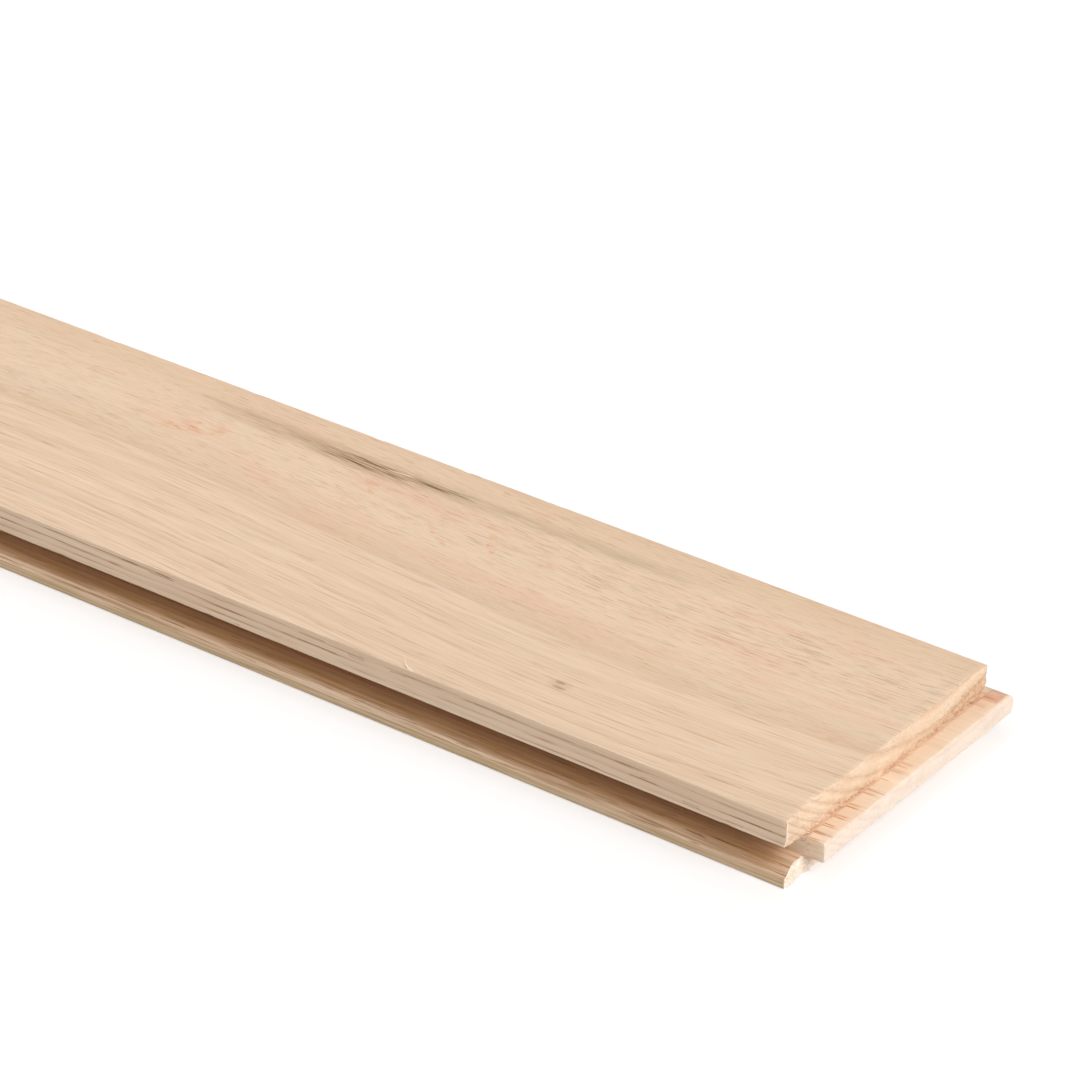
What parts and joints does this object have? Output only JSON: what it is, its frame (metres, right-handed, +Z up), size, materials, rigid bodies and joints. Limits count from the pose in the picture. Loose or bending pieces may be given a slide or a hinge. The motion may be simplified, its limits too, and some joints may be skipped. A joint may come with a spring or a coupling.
{
  "type": "hardwood floorboard",
  "caption": "Strip of unfinished solid oak flooring, tongue and groove on its sides and ends, with a hollow back. Laid beside others and nailed through the tongue.",
  "frame": {"origin": "on the floor, under the middle of the board's overall length and width, tongues included", "axes": "+X along the board towards the end tongue, +Y across it towards the side tongue, +Z up out of the face"},
  "size_m": [0.6144, 0.0874, 0.0191],
  "materials": {
    "oak": "planed and unfinished, with open pores"
  },
  "bodies": {
    "root": {"floorboard": "oak"}
  },
  "joints": []
}
